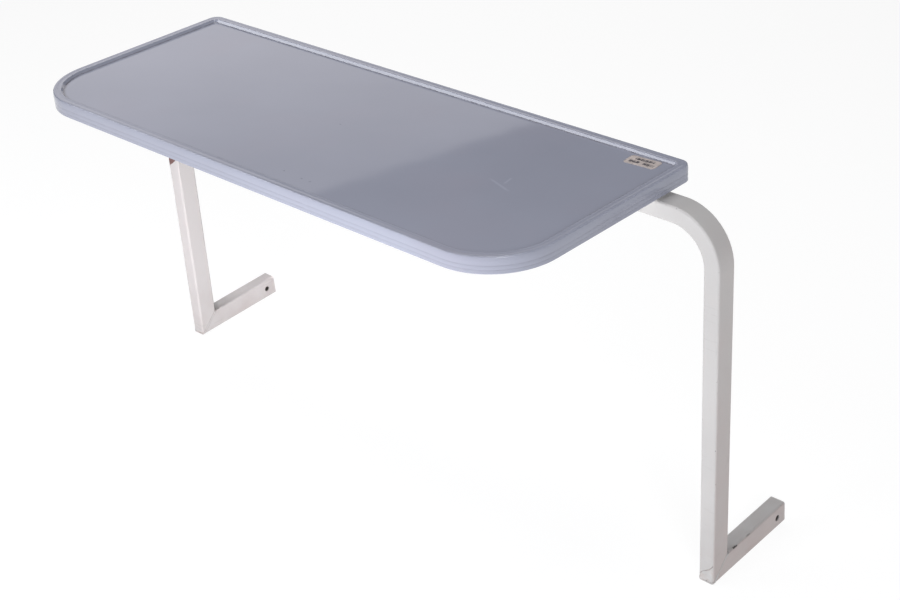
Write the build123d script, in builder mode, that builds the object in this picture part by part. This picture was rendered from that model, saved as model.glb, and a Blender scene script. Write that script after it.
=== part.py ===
from build123d import *
import os
from math import cos, radians, sin

# Bed-mounted overbed table: a moulded tray top bolted to a bent steel frame whose
# welded feet pivot on the bed. Millimetres, +Z up, +X along the table's length,
# -Y towards the person. The origin is on the pivot axis, midway between the feet.

# --- Driving dimensions -------------------------------------------------------------
# Steel frame
frame_width = 1000.0  # outside of one leg to outside of the other
frame_height = 500.0  # heel of the foot to the top of the rail
tube_width = 22.0  # tube section, along X on a leg
tube_depth = 30.0  # tube section, along Y on a leg
tube_wall = 1.5
tube_corner = 3.0  # outer corner radius of the tube section
bend_radius = 56.0  # centreline radius of the two frame bends

# Feet and pivots
foot_length = 155.0  # heel to the outer face of the end plug
foot_rise = 3.0  # degrees, the feet climb towards the bed
pivot_from_end = 17.0  # pivot hole to the end of the foot
pivot_diameter = 8.5  # clears an M8 bolt
sleeve_diameter = 14.0  # crush sleeve inside the foot
plug_flange = 2.0
plug_insert = 7.0
plug_wall = 1.5
plug_clearance = 0.1
weld_gap = 1.2  # weld metal between leg and foot
weld_proud = 0.3  # weld metal standing above the tube

# Tray top
tray_length = 835.0
tray_width = 325.0
tray_height = 20.5
tray_overhang = 262.0  # front of the tray ahead of the legs
front_corner = 86.0
rear_corner = 14.0
tight_corner = 7.0  # least radius of any inner rear corner
shell_wall = 3.0
rim_width = 11.0  # outer edge to the top of the inner slope
rim_edge = 1.6  # rounding of the rim's outer edge
rim_inner_edge = 1.2
recess_depth = 3.8
recess_slope = 36.0  # degrees off vertical, the inner face of the rim
channel_width = 5.0  # hollow under the rim, inside the outer wall
groove_heights = (4.8, 10.0)  # moulded lines round the side, above its lower edge
groove_width = 0.8
groove_depth = 0.3
lower_edge = 0.8

# Board inside the tray
board_thickness = 12.0
board_clearance = 0.5
backing_thickness = 1.0

# Bearers, which carry the board on the rail
bearer_spacing = 520.0
bearer_width = 25.0
bearer_thickness = 5.0
bearer_front_gap = 45.0  # bearer end behind the tray's front edge
bearer_corner = 5.0
bearer_weld = 3.0  # leg of each fillet weld
screw_setbacks = (19.0, 114.0, 204.0)  # screws behind the front end of a bearer

# M6 fasteners
screw_diameter = 5.9
screw_length = 12.5  # under the washer's face
head_diameter = 11.0
head_height = 3.2
head_edge = 1.4
socket_across_flats = 4.0
socket_depth = 2.0
washer_diameter = 12.0
washer_bore = 6.4
washer_thickness = 1.6
screw_clearance = 6.6
insert_diameter = 9.0
insert_bore = 6.0
insert_length = 10.0
insert_hole_depth = 11.0

# Asset label on the tray surface
label_length = 42.0
label_width = 22.0
label_thickness = 0.15
label_corner = 2.5
label_turn = 4.0
label_x = 367.0
label_from_rear = 27.4

# --- Places worked out from them ----------------------------------------------------
rise = radians(foot_rise)
heel_to_pivot = foot_length - pivot_from_end
heel_y = -(heel_to_pivot * cos(rise) - tube_depth / 2 * sin(rise))
heel_z = -(heel_to_pivot * sin(rise) + tube_depth / 2 * cos(rise))
leg_x = (frame_width - tube_width) / 2
leg_y = heel_y + tube_depth / 2
rail_top = heel_z + frame_height
rail_axis = rail_top - tube_width / 2

tray_front = heel_y - tray_overhang
tray_rear = tray_front + tray_width
tray_y = (tray_front + tray_rear) / 2
backing_bottom = rail_top + bearer_thickness
board_bottom = backing_bottom + backing_thickness
board_top = board_bottom + board_thickness
tray_surface = board_top + shell_wall
tray_top = tray_surface + recess_depth
tray_bottom = tray_top - tray_height

bearer_front = tray_front + bearer_front_gap
bearer_rear = heel_y + tube_depth
bearer_xs = (-bearer_spacing / 2, bearer_spacing / 2)
screw_points = [(x, bearer_front + setback) for x in bearer_xs for setback in screw_setbacks]

# The mitre between a leg and its foot bisects their angle and runs through the heel.
mitre_angle = (90.0 + foot_rise) / 2
mitre_length = tube_depth / cos(radians(mitre_angle))
mitre_wall = tube_wall / cos(radians(mitre_angle))
mitre = Plane(
    origin=(0, heel_y, heel_z),
    x_dir=(1, 0, 0),
    z_dir=(0, -sin(radians(mitre_angle)), cos(radians(mitre_angle))),
)

sides = {"left": -leg_x, "right": leg_x}


def foot_plane(x, reach):
    """Cross-section plane of a foot at a distance from the heel, facing its free end."""
    along = Vector(0, cos(rise), sin(rise))
    across = Vector(0, -sin(rise), cos(rise))
    centre = Vector(x, heel_y, heel_z) + along * reach + across * (tube_depth / 2)
    return Plane(origin=centre, x_dir=(1, 0, 0), z_dir=along)


def tray_outline(inset=0.0, mode=Mode.ADD):
    """Draw the tray's outline, moved in by an inset, in the sketch being made."""
    x = tray_length / 2 - inset
    front = front_corner - inset
    rear = max(rear_corner - inset, tight_corner)
    with BuildLine() as outline:
        FilletPolyline(
            (-x, tray_front + inset),
            (x, tray_front + inset),
            (x, tray_rear - inset),
            (-x, tray_rear - inset),
            radius=(front, front, rear, rear),
            close=True,
        )
    make_face(outline.edges(), mode=mode)


def finish(piece, name):
    """Name a finished piece and write it to its own file."""
    piece.part.label = name
    export_step(piece.part, f"parts/{name}.step")


os.makedirs("parts", exist_ok=True)

# --- Frame tube: one rectangular tube, bent twice and mitred at both lower ends -------
with BuildPart() as frame_tube:
    with BuildLine() as frame_line:
        FilletPolyline(
            (-leg_x, leg_y, heel_z),
            (-leg_x, leg_y, rail_axis),
            (leg_x, leg_y, rail_axis),
            (leg_x, leg_y, heel_z),
            radius=bend_radius,
        )
    with BuildSketch(Plane.XY.offset(heel_z)) as tube_section:
        with Locations((-leg_x, leg_y)):
            RectangleRounded(tube_width, tube_depth, tube_corner)
            RectangleRounded(
                tube_width - 2 * tube_wall,
                tube_depth - 2 * tube_wall,
                tube_corner - tube_wall,
                mode=Mode.SUBTRACT,
            )
    sweep()
    split(bisect_by=mitre.offset(weld_gap / 2), keep=Keep.TOP)
finish(frame_tube, "frame_tube")

# --- Feet, with their welds, pivot sleeves and end plugs -----------------------------
for side, x in sides.items():
    with BuildPart() as foot_tube:
        with BuildSketch(foot_plane(x, 0)):
            RectangleRounded(tube_width, tube_depth, tube_corner)
            RectangleRounded(
                tube_width - 2 * tube_wall,
                tube_depth - 2 * tube_wall,
                tube_corner - tube_wall,
                mode=Mode.SUBTRACT,
            )
        extrude(amount=foot_length - plug_flange)
        split(bisect_by=mitre.offset(-weld_gap / 2), keep=Keep.BOTTOM)
        with BuildSketch(Plane.YZ.offset(x)):
            Circle(pivot_diameter / 2)
        extrude(amount=tube_width, both=True, mode=Mode.SUBTRACT)
    finish(foot_tube, f"{side}_foot_tube")

    with BuildPart() as foot_weld:
        with BuildSketch(mitre) as weld_section:
            with Locations((x, mitre_length / 2)):
                RectangleRounded(
                    tube_width + 2 * weld_proud,
                    mitre_length + 2 * weld_proud,
                    tube_corner,
                )
                Rectangle(
                    tube_width - 2 * tube_wall,
                    mitre_length - 2 * mitre_wall,
                    mode=Mode.SUBTRACT,
                )
        extrude(amount=weld_gap / 2, both=True)
    finish(foot_weld, f"{side}_foot_weld")

    with BuildPart() as pivot_sleeve:
        with BuildSketch(Plane.YZ.offset(x)):
            Circle(sleeve_diameter / 2)
            Circle(pivot_diameter / 2, mode=Mode.SUBTRACT)
        extrude(amount=tube_width / 2 - tube_wall, both=True)
    finish(pivot_sleeve, f"{side}_pivot_sleeve")

    with BuildPart() as foot_plug:
        with BuildSketch(foot_plane(x, foot_length - plug_flange)):
            RectangleRounded(tube_width, tube_depth, tube_corner)
        extrude(amount=plug_flange)
        outer_rim = foot_plug.faces().sort_by(Axis.Y)[-1].edges()
        fillet(outer_rim, plug_flange / 2)
        plug_gap = tube_wall + plug_clearance
        with BuildSketch(foot_plane(x, foot_length - plug_flange)):
            RectangleRounded(
                tube_width - 2 * plug_gap, tube_depth - 2 * plug_gap, tube_corner - plug_gap
            )
            hollow = plug_gap + plug_wall
            Rectangle(tube_width - 2 * hollow, tube_depth - 2 * hollow, mode=Mode.SUBTRACT)
        extrude(amount=-plug_insert)
    finish(foot_plug, f"{side}_foot_plug")

# --- Tray shell: raised rim, shallow recess, hollow underneath for the board ----------
with BuildPart() as tabletop_shell:
    with BuildSketch(Plane.XY.offset(tray_bottom)):
        tray_outline()
    extrude(amount=tray_height)
    top_edges = tabletop_shell.faces().sort_by(Axis.Z)[-1].edges()
    fillet(top_edges, rim_edge)
    bottom_edges = tabletop_shell.faces().sort_by(Axis.Z)[0].edges()
    fillet(bottom_edges, lower_edge)
    with BuildSketch(Plane.XY.offset(tray_top)):
        tray_outline(rim_width)
    extrude(amount=-recess_depth, taper=recess_slope, mode=Mode.SUBTRACT)
    rim_face = tabletop_shell.faces().sort_by(Axis.Z)[-1]
    fillet(rim_face.inner_wires().edges(), rim_inner_edge)
    for height in groove_heights:
        with BuildSketch(Plane.XY.offset(tray_bottom + height - groove_width / 2)):
            tray_outline(-groove_depth)
            tray_outline(groove_depth, mode=Mode.SUBTRACT)
        extrude(amount=groove_width, mode=Mode.SUBTRACT)
    with BuildSketch(Plane.XY.offset(tray_bottom)):
        tray_outline(shell_wall)
    extrude(amount=board_top - tray_bottom, mode=Mode.SUBTRACT)
    with BuildSketch(Plane.XY.offset(board_top)):
        tray_outline(shell_wall)
        tray_outline(shell_wall + channel_width, mode=Mode.SUBTRACT)
    extrude(amount=recess_depth, mode=Mode.SUBTRACT)
finish(tabletop_shell, "tabletop_shell")

# --- Core board and its backing sheet, inside the shell -------------------------------
board_inset = shell_wall + board_clearance
with BuildPart() as core_board:
    with BuildSketch(Plane.XY.offset(board_bottom)):
        tray_outline(board_inset)
    extrude(amount=board_thickness)
    with BuildSketch(Plane.XY.offset(board_bottom)):
        with Locations(*screw_points):
            Circle(insert_diameter / 2)
    extrude(amount=insert_hole_depth, mode=Mode.SUBTRACT)
finish(core_board, "core_board")

with BuildPart() as backing_sheet:
    with BuildSketch(Plane.XY.offset(backing_bottom)):
        tray_outline(board_inset)
        with Locations(*screw_points):
            Circle(screw_clearance / 2, mode=Mode.SUBTRACT)
    extrude(amount=backing_thickness)
finish(backing_sheet, "backing_sheet")

# --- Bearers: flat bars welded across the rail ----------------------------------------
for side, x in zip(sides, bearer_xs):
    with BuildPart() as bearer:
        with BuildSketch(Plane.XY.offset(rail_top)):
            with Locations((x, (bearer_front + bearer_rear) / 2)):
                Rectangle(bearer_width, bearer_rear - bearer_front)
        extrude(amount=bearer_thickness)
        front_corners = bearer.edges().filter_by(Axis.Z).group_by(Axis.Y)[0]
        fillet(front_corners, bearer_corner)
        with BuildSketch(Plane.XY.offset(rail_top)):
            with Locations(*[point for point in screw_points if point[0] == x]):
                Circle(screw_clearance / 2)
        extrude(amount=bearer_thickness, mode=Mode.SUBTRACT)
    finish(bearer, f"{side}_bearer")

weld_run = tube_depth - 2 * tube_corner
with BuildPart() as bearer_welds:
    for x in bearer_xs:
        for direction in (-1, 1):
            toe = x + direction * bearer_width / 2
            with BuildSketch(Plane.XZ.offset(-leg_y)):
                with BuildLine():
                    Polyline(
                        (toe, rail_top),
                        (toe + direction * bearer_weld, rail_top),
                        (toe, rail_top + bearer_weld),
                        close=True,
                    )
                make_face()
            extrude(amount=weld_run / 2, both=True)
finish(bearer_welds, "bearer_welds")

# --- Fasteners: button-head screws, washers and inserts, one set per screw point ------
head_top = rail_top - washer_thickness
with BuildPart() as mounting_screws:
    with BuildSketch(Plane.XY.offset(head_top)):
        with Locations(*screw_points):
            Circle(head_diameter / 2)
    extrude(amount=-head_height)
    head_rims = mounting_screws.faces().group_by(Axis.Z)[0].edges()
    fillet(head_rims, head_edge)
    with BuildSketch(Plane.XY.offset(head_top - head_height)):
        with Locations(*screw_points):
            RegularPolygon(socket_across_flats / 2, 6, major_radius=False)
    extrude(amount=socket_depth, mode=Mode.SUBTRACT)
    with BuildSketch(Plane.XY.offset(head_top)):
        with Locations(*screw_points):
            Circle(screw_diameter / 2)
    extrude(amount=washer_thickness + screw_length)
finish(mounting_screws, "mounting_screws")

with BuildPart() as washers:
    with BuildSketch(Plane.XY.offset(head_top)):
        with Locations(*screw_points):
            Circle(washer_diameter / 2)
            Circle(washer_bore / 2, mode=Mode.SUBTRACT)
    extrude(amount=washer_thickness)
finish(washers, "washers")

with BuildPart() as threaded_inserts:
    with BuildSketch(Plane.XY.offset(board_bottom)):
        with Locations(*screw_points):
            Circle(insert_diameter / 2)
            Circle(insert_bore / 2, mode=Mode.SUBTRACT)
    extrude(amount=insert_length)
finish(threaded_inserts, "threaded_inserts")

# --- Asset label, stuck to the tray surface near its rear right corner ----------------
with BuildPart() as asset_label:
    with BuildSketch(Plane.XY.offset(tray_surface)):
        with Locations(Location((label_x, tray_rear - label_from_rear, 0), (0, 0, label_turn))):
            RectangleRounded(label_length, label_width, label_corner)
    extrude(amount=label_thickness)
finish(asset_label, "asset_label")

print(f"heel at y {heel_y:.2f}, z {heel_z:.2f}; rail top {rail_top:.2f}")
print(f"tray y {tray_front:.2f} to {tray_rear:.2f}, surface {tray_surface:.2f}, top {tray_top:.2f}")
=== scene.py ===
from math import cos, exp, hypot, pi, radians, sin, tan

import bmesh
import bpy
from mathutils import Matrix, Vector, noise


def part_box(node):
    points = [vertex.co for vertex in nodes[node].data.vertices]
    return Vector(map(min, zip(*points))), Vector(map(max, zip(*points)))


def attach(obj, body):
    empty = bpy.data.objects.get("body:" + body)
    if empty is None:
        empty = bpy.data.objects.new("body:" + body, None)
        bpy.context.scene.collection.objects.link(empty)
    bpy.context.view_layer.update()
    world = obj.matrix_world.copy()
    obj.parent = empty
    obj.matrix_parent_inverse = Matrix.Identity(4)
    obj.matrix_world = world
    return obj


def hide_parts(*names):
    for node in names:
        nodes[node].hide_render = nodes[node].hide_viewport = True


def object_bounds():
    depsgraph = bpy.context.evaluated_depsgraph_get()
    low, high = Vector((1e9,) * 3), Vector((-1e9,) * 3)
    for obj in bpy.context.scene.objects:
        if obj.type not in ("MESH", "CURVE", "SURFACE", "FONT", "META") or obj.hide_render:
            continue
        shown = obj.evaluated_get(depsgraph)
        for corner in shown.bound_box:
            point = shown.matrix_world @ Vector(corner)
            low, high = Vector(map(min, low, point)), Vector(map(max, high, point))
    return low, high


# Looks of the bed-mounted overbed table: a moulded tray on a painted steel frame.
# Metres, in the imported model's frame. Sizes written in millimetres are multiplied by MM.

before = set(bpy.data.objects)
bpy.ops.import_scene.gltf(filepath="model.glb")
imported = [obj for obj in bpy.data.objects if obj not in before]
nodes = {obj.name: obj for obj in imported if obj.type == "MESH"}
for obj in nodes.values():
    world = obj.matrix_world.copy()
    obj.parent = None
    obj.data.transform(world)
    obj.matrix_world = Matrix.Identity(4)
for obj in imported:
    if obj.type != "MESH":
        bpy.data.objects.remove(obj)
cad_low, cad_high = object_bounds()
scene = bpy.context.scene
MM = 0.001

# --- Places read from the frame ---------------------------------------------------------
shell_low, shell_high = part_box("tabletop_shell")
board_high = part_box("core_board")[1]
label_low, label_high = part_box("asset_label")
tube_low, tube_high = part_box("frame_tube")
foot_low, foot_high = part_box("right_foot_tube")

tray_centre = (shell_low + shell_high) / 2
tray_half_length = (shell_high.x - shell_low.x) / 2
tray_half_width = (shell_high.y - shell_low.y) / 2
tray_height = shell_high.z - shell_low.z
surface_height = label_low.z - shell_low.z
board_height = board_high.z - shell_low.z
recess_depth = tray_height - surface_height
rail_top = tube_high.z
leg_x = (foot_low.x + foot_high.x) / 2
leg_front = tube_low.y

# --- Tray shape -------------------------------------------------------------------------
FRONT_CORNER = 86.0 * MM
REAR_CORNER = 14.0 * MM
REAR_CORNER_KEEP = 0.65  # share of an inset that a rear corner's radius loses
ARC_STEPS = 28
SHORT_RUN_STEPS = 12
LONG_RUN_STEPS = 32
SHELL_WALL = 3.0 * MM
CHANNEL_WIDTH = 5.0 * MM
LOWER_EDGE = 0.8 * MM
SIDE_LINES = (4.8 * MM, 10.0 * MM)  # moulded lines round the side, above its lower edge
LINE_DEPTH = 0.26 * MM
LINE_REACH = 1.5 * MM
SIDE_STEP = 0.4 * MM
SHOULDER_RADIUS = 25.0 * MM
SHOULDER_ANGLE = 12.0  # degrees that the wall has leaned in by, where the rim edge starts
RIM_EDGE = 1.6 * MM
RIM_FLAT_END = 4.2 * MM
RIM_WIDTH = 11.0 * MM
RIM_DISH = 0.2 * MM  # depth of the shallow hollow along the rim's top
RIM_DISH_STEPS = 12
RIM_INNER_EDGE = 1.2 * MM
RECESS_SLOPE = 36.0  # degrees off vertical
RECESS_FOOT = 1.4 * MM  # rounding where the slope meets the tray surface
SUPPORT = 0.4 * MM  # flat strip beside a rounding, so that it shades flat

# --- Frame and weld shape ---------------------------------------------------------------
MITRE_ANGLE = radians(46.5)
TUBE_WIDTH = 22.0 * MM
TUBE_DEPTH = 30.0 * MM
TUBE_CORNER = 3.0 * MM
TUBE_WALL = 1.5 * MM
WELD_GAP = 1.2 * MM

# --- Label shape ------------------------------------------------------------------------
LABEL_LENGTH = 42.0 * MM
LABEL_WIDTH = 22.0 * MM
LABEL_CORNER = 4.5 * MM
LABEL_THICKNESS = 0.13 * MM
LABEL_TURN = radians(4.0)
# Rows of marks, as shares of the label: middle, half height, marks per length, start and end.
LABEL_PRINT = (
    (0.70, 0.125, 8.0, 0.20, 0.82),
    (0.33, 0.145, 9.0, 0.10, 0.92),
)


# --- Camera -----------------------------------------------------------------------------
AZIMUTH, ELEVATION, ROLL = radians(45.23), radians(29.582), radians(-3.961)
LENS_MM, SENSOR_MM = 68.77, 36.0
CAMERA_AT = Vector((1.4605, -1.5090, 1.3402))


def add_camera():
    """The camera stands in front of the table's right end and looks down on it."""
    ahead = Vector((-sin(AZIMUTH) * cos(ELEVATION), cos(AZIMUTH) * cos(ELEVATION), -sin(ELEVATION)))
    level = Vector((cos(AZIMUTH), sin(AZIMUTH), 0.0))
    upright = level.cross(ahead)
    right = level * cos(ROLL) + upright * sin(ROLL)
    up = upright * cos(ROLL) - level * sin(ROLL)
    data = bpy.data.cameras.new("camera")
    data.lens = LENS_MM
    data.sensor_width = SENSOR_MM
    data.clip_start = 0.05
    data.clip_end = 100.0
    camera = bpy.data.objects.new("camera", data)
    turn = Matrix((right, up, -ahead)).transposed()
    camera.matrix_world = Matrix.Translation(CAMERA_AT) @ turn.to_4x4()
    scene.collection.objects.link(camera)
    scene.camera = camera


# --- Materials: a small kit of node calls -----------------------------------------------
WHITE = (1.0, 1.0, 1.0, 1.0)
NOISE_RANGE = (0.3, 0.7)  # where most of a noise's values lie


class Finish:
    """One node material: a Principled shader, and short calls that add nodes round it."""

    def __init__(self, name, roughness, metallic=0.0, ior=1.5):
        self.material = bpy.data.materials.new(name)
        self.material.use_nodes = True
        self.tree = self.material.node_tree
        self.shader = self.tree.nodes["Principled BSDF"]
        self.shader.inputs["Roughness"].default_value = roughness
        self.shader.inputs["Metallic"].default_value = metallic
        self.shader.inputs["IOR"].default_value = ior
        self.place = self.add("ShaderNodeTexCoord").outputs["Object"]
        self.normal = self.add("ShaderNodeNewGeometry").outputs["Normal"]

    def add(self, kind, sources=None, **settings):
        node = self.tree.nodes.new(kind)
        for name, value in settings.items():
            setattr(node, name, value)
        for socket, value in (sources or {}).items():
            self.feed(node.inputs[socket], value)
        return node

    def feed(self, socket, value):
        if isinstance(value, bpy.types.NodeSocket):
            self.tree.links.new(value, socket)
        else:
            socket.default_value = value

    def calc(self, operation, first, second=0.0):
        return self.add("ShaderNodeMath", {0: first, 1: second}, operation=operation).outputs[0]

    def product(self, first, *others):
        for other in others:
            first = self.calc("MULTIPLY", first, other)
        return first

    def most(self, first, *others):
        for other in others:
            first = self.calc("MAXIMUM", first, other)
        return first

    def spread(self, value, low, high, to_low=0.0, to_high=1.0):
        """Map low..high onto to_low..to_high, held at the ends."""
        sources = {"Value": value, "From Min": low, "From Max": high}
        sources.update({"To Min": to_low, "To Max": to_high})
        return self.add("ShaderNodeMapRange", sources).outputs["Result"]

    def even(self, value, to_low=0.0, to_high=1.0):
        """Map a noise's usual range onto to_low..to_high."""
        return self.spread(value, *NOISE_RANGE, to_low, to_high)

    def tint(self, amount, first, second):
        """Mix two colours, from the first at 0 to the second at 1."""
        sources = {0: amount, 6: first, 7: second}
        return self.add("ShaderNodeMix", sources, data_type="RGBA").outputs[2]

    def cover(self, colour, mask, share, second):
        """Mix a share of a second colour over the first where the mask is 1."""
        return self.tint(self.calc("MULTIPLY", mask, share), colour, second)

    def clouded(self, value, colour, darkest, lightest):
        """A colour whose shade follows a noise."""
        return self.tint(self.even(value), shade(colour, darkest), shade(colour, lightest))

    def mapped(self, turn=(0.0, 0.0, 0.0), stretch=(1.0, 1.0, 1.0)):
        sources = {"Vector": self.place, "Rotation": turn, "Scale": stretch}
        return self.add("ShaderNodeMapping", sources).outputs[0]

    def noise(self, scale, detail=2.0, turn=(0.0, 0.0, 0.0), stretch=(1.0, 1.0, 1.0)):
        sources = {"Vector": self.mapped(turn, stretch), "Scale": scale, "Detail": detail}
        return self.add("ShaderNodeTexNoise", sources).outputs["Fac"]

    def hairlines(self, turn, density=0.72, fineness=900.0, run=7.0):
        """Thin straight scratches along one direction of the XY plane, in loose groups."""
        streaks = self.noise(1.0, 2.0, (0.0, 0.0, turn), (run, fineness, run))
        groups = self.noise(6.0, 2.0, (0.0, 0.0, turn + 1.0))
        line = self.spread(streaks, density, density + 0.05)
        return self.product(line, self.spread(groups, 0.52, 0.64))

    def stroke(self, centre, angle, length, width):
        """One straight mark on a level surface: 1 on the line, 0 a line's width away."""
        offset = self.add("ShaderNodeVectorMath", {0: self.place, 1: centre}, operation="SUBTRACT")
        sources = {"Vector": offset.outputs[0], "Rotation": (0.0, 0.0, -angle)}
        local = self.add("ShaderNodeMapping", sources).outputs[0]
        split = self.add("ShaderNodeSeparateXYZ", {0: local})
        along = self.calc("ABSOLUTE", split.outputs[0])
        across = self.calc("ABSOLUTE", split.outputs[1])
        end = self.spread(along, length / 2, length / 2 * 0.6)
        return self.product(end, self.spread(across, width, 0.3 * width))

    def spot(self, centre, size, ragged=0.5, scale=400.0):
        """A ragged patch: 1 inside an ellipsoid of that half size, 0 outside."""
        offset = self.add("ShaderNodeVectorMath", {0: self.place, 1: centre}, operation="SUBTRACT")
        shrink = [1.0 / half for half in size]
        scaled = self.add(
            "ShaderNodeVectorMath", {0: offset.outputs[0], 1: shrink}, operation="MULTIPLY"
        )
        reach = self.add("ShaderNodeVectorMath", {0: scaled.outputs[0]}, operation="LENGTH")
        torn = self.spread(self.noise(scale, 3.0), 0.25, 0.75, -ragged, ragged)
        return self.spread(self.calc("ADD", reach.outputs["Value"], torn), 1.08, 0.92)

    def axis(self, source, index):
        return self.add("ShaderNodeSeparateXYZ", {0: source}).outputs[index]

    def round_corners(self, index):
        """1 on the rounded corners of a tube, where the normal is between an axis and the rest."""
        lean = self.calc("ABSOLUTE", self.axis(self.normal, index))
        rest = self.calc("SQRT", self.calc("SUBTRACT", 1.0, self.calc("MULTIPLY", lean, lean)))
        return self.calc("MULTIPLY", self.calc("MULTIPLY", lean, rest), 2.0)

    def sharp_edges(self, radius):
        """1 on edges sharper than a radius, 0 on flats."""
        rounded = self.add("ShaderNodeBevel", {"Radius": radius}, samples=6).outputs[0]
        sources = {0: rounded, 1: self.normal}
        facing = self.add("ShaderNodeVectorMath", sources, operation="DOT_PRODUCT")
        return self.spread(facing.outputs["Value"], 0.99, 0.86)

    def attribute(self, name):
        return self.add("ShaderNodeAttribute", attribute_name=name).outputs["Fac"]

    def bump(self, height, depth, under=None):
        sources = {"Height": height, "Distance": depth, "Strength": 1.0}
        if under is not None:
            sources["Normal"] = under
        return self.add("ShaderNodeBump", sources).outputs[0]

    def finish(self, colour, roughness=None, normal=None):
        self.feed(self.shader.inputs["Base Color"], colour)
        if roughness is not None:
            self.feed(self.shader.inputs["Roughness"], roughness)
        if normal is not None:
            self.feed(self.shader.inputs["Normal"], normal)
        return self.material


def shade(colour, factor):
    """A colour with its red, green and blue scaled, as node inputs take it."""
    return (colour[0] * factor, colour[1] * factor, colour[2] * factor, 1.0)


# --- Materials of the tray --------------------------------------------------------------
TRAY_COLOUR = (0.315, 0.326, 0.395)
TRAY_WARM = (0.3276, 0.3195, 0.3832, 1.0)
# Painted shade, with some grime, for the tray's moulded lines and the foot of its recess.
TRAY_GRIME_AND_SHADE = (0.15, 0.14, 0.155, 1.0)
# Two crossing scratches: middle, direction, length and half width with its soft edge.
SCRATCH_MARKS = (
    (273.6 * MM, -241.6 * MM, radians(-17.0), 45.0 * MM, 2.2 * MM),
    (274.7 * MM, -228.2 * MM, radians(-79.5), 18.0 * MM, 2.0 * MM),
)
SPECK_SIZE = (1.6 * MM, 1.1 * MM, 1.0 * MM)
SPECKS_AT = (
    (3.9 * MM, -231.0 * MM),
    (46.7 * MM, -361.7 * MM),
    (79.0 * MM, -363.8 * MM),
    (93.0 * MM, -363.6 * MM),
)


def tray_plastic():
    """Glossy grey-lavender moulding with cloudy tone, hairline scratches and a scuffed rim."""
    skin = Finish("tray_plastic", roughness=0.05)
    surface = label_low.z
    clouds = skin.noise(5.0, 3.0)
    smears = skin.noise(3.0, 4.0, stretch=(1.0, 3.5, 1.0))
    grain = skin.noise(1500.0, 1.0)
    ripple = skin.noise(13.0, 1.0)
    colour = skin.clouded(clouds, TRAY_COLOUR, 0.96, 1.04)
    warmth = skin.spread(skin.noise(9.0, 2.0), 0.5, 0.75, 0.0, 0.35)
    colour = skin.tint(warmth, colour, TRAY_WARM)

    worn = skin.product(skin.attribute("wear"), skin.spread(skin.noise(110.0, 3.0), 0.42, 0.7))
    colour = skin.cover(colour, worn, 0.16, shade(TRAY_COLOUR, 1.3))
    # Painted shade, with some grime: darker in the moulded lines and along the foot of the recess.
    darkened = skin.product(skin.attribute("grime_and_shade"), skin.even(skin.noise(60.0, 4.0), 0.35))
    colour = skin.cover(colour, darkened, 0.8, TRAY_GRIME_AND_SHADE)

    scratches = skin.most(
        skin.hairlines(0.35),
        skin.hairlines(-0.5, 0.74),
        skin.hairlines(1.25, 0.75),
        skin.hairlines(2.2, 0.75),
    )
    crossed = skin.most(
        *(skin.stroke((x, y, surface), *mark) for x, y, *mark in SCRATCH_MARKS)
    )
    colour = skin.cover(colour, scratches, 0.14, shade(TRAY_COLOUR, 1.3))
    colour = skin.cover(colour, crossed, 0.3, shade(TRAY_COLOUR, 1.4))
    for x, y in SPECKS_AT:
        speck = skin.spot((x, y, surface), SPECK_SIZE, 0.6, 700.0)
        colour = skin.cover(colour, speck, 0.4, shade(TRAY_COLOUR, 0.45))

    gloss = skin.even(smears, 0.03, 0.06)
    gloss = skin.calc("ADD", gloss, skin.calc("MULTIPLY", worn, 0.08))
    gloss = skin.calc("ADD", gloss, skin.calc("MULTIPLY", scratches, 0.12))
    normal = skin.bump(ripple, 0.09 * MM)
    normal = skin.bump(grain, 0.001 * MM, normal)
    cuts = skin.calc("SUBTRACT", 1.0, skin.most(scratches, crossed))
    normal = skin.bump(cuts, 0.01 * MM, normal)
    return skin.finish(colour, gloss, normal)


LABEL_COLOUR = (0.50, 0.435, 0.41)
LABEL_INK = (0.03, 0.028, 0.04, 1.0)


def label_paper():
    """Aged pink-beige label with two bold rows of plain dark bars, which stand for its print."""
    skin = Finish("label_paper", roughness=0.6)
    mottle = skin.noise(120.0, 4.0)
    fibre = skin.noise(2200.0, 2.0)
    colour = skin.clouded(mottle, LABEL_COLOUR, 0.84, 1.12)
    along = skin.attribute("along")
    across = skin.attribute("across")
    wobble = skin.spread(skin.noise(260.0, 3.0), 0.25, 0.75, -0.05, 0.05)
    for row, height, words, start, end in LABEL_PRINT:
        gap = skin.calc("ABSOLUTE", skin.calc("SUBTRACT", skin.calc("ADD", across, wobble), row))
        inked = skin.spread(gap, height, height * 0.7)
        cell = skin.calc("FLOOR", skin.calc("MULTIPLY", along, words))
        sources = {"W": skin.calc("ADD", cell, row)}
        pick = skin.add("ShaderNodeTexWhiteNoise", sources, noise_dimensions="1D")
        printed = skin.spread(pick.outputs["Value"], 0.12, 0.14)
        step = skin.calc("FRACT", skin.calc("MULTIPLY", along, words))
        apart = skin.spread(skin.calc("ABSOLUTE", skin.calc("SUBTRACT", step, 0.5)), 0.48, 0.40)
        begun = skin.spread(along, start, start + 0.01)
        unfinished = skin.spread(along, end, end - 0.01)
        faded = skin.spread(skin.noise(420.0, 3.0), 0.3, 0.6, 0.5, 0.95)
        print_mask = skin.product(inked, printed, apart, begun, unfinished, faded)
        colour = skin.tint(print_mask, colour, LABEL_INK)
    edge = skin.product(skin.attribute("edge"), skin.spread(skin.noise(300.0, 3.0), 0.35, 0.6))
    colour = skin.cover(colour, edge, 0.6, shade(TRAY_COLOUR, 0.7))
    normal = skin.bump(fibre, 0.012 * MM, skin.bump(mottle, 0.05 * MM))
    return skin.finish(colour, skin.even(mottle, 0.5, 0.68), normal)


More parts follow.
